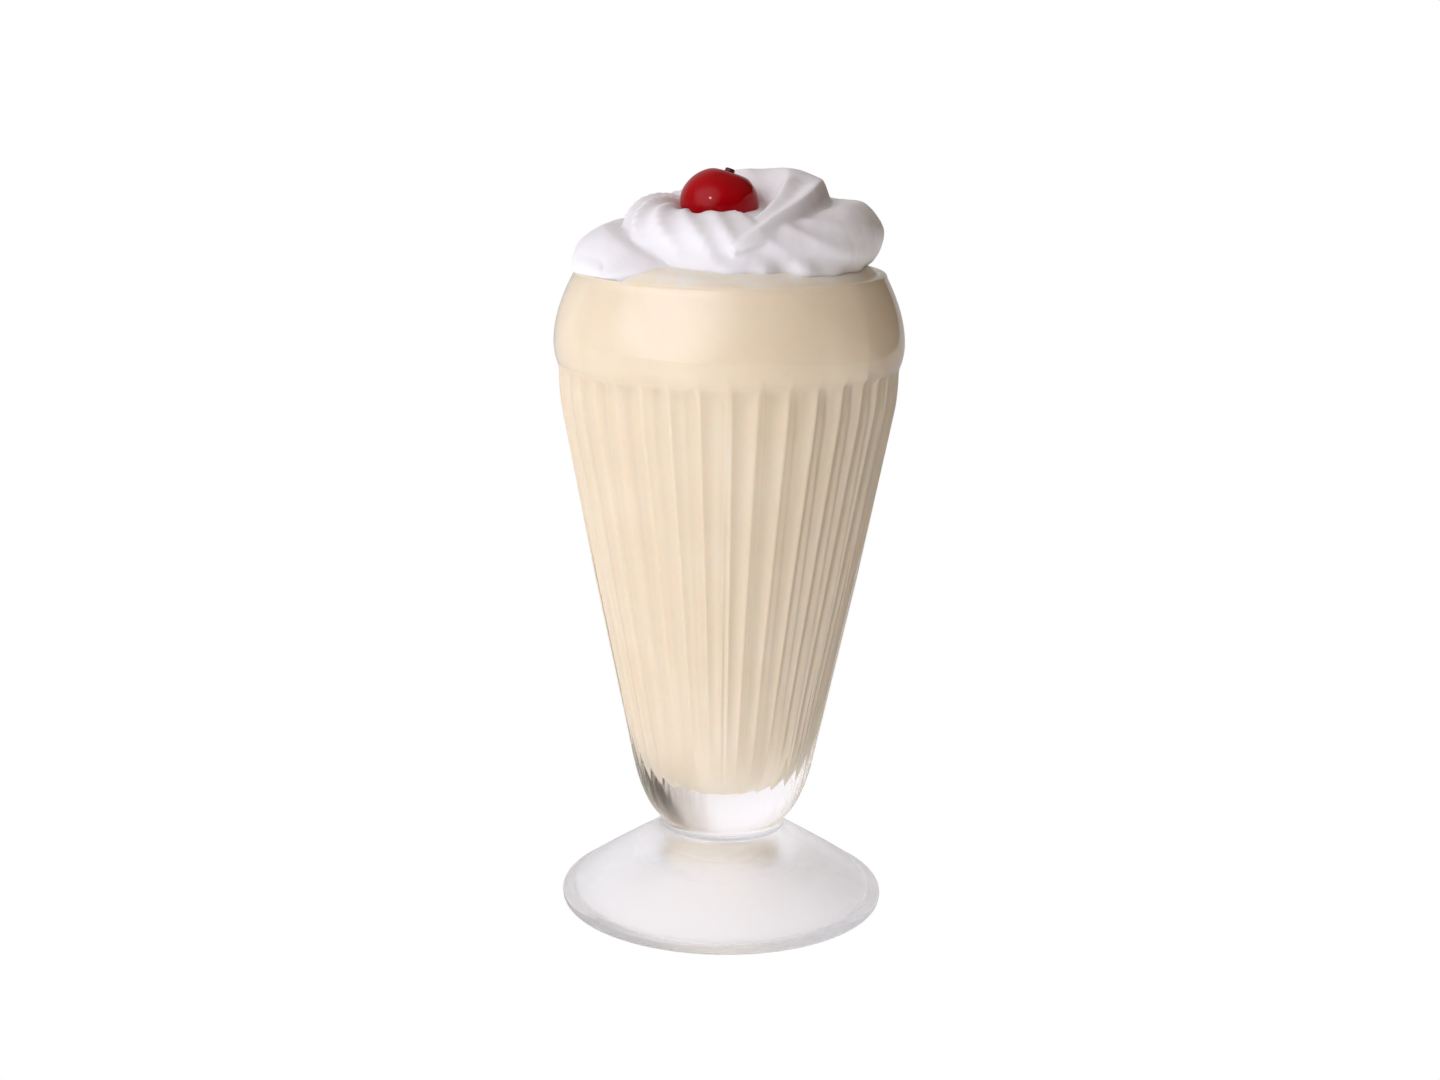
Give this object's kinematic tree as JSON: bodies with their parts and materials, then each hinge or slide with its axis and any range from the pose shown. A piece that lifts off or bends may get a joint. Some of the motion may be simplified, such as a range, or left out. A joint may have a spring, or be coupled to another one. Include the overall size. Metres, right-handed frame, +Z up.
{
  "type": "vanilla milkshake",
  "caption": "Vanilla milkshake in a tall footed soda glass with a fluted tapering bowl and a smooth band under the rim, topped with a swirl of piped whipped cream and a red cherry.",
  "frame": {"origin": "middle of the foot's underside, on the surface that the glass stands on", "axes": "+Z up along the glass's axis; -Y towards the viewer of the picture, so +X is to that viewer's right"},
  "size_m": [0.093, 0.093, 0.202],
  "materials": {
    "clear_glass": "clear, smooth, pressed glass",
    "vanilla_shake": "opaque cream-coloured drink, soft satin",
    "whipped_cream": "soft, white, faintly moist",
    "cherry": "deep red, wet, glossy"
  },
  "bodies": {
    "root": {"glass": "clear_glass", "milkshake": "vanilla_shake", "whipped_cream": "whipped_cream", "cherry": "cherry"}
  },
  "joints": []
}
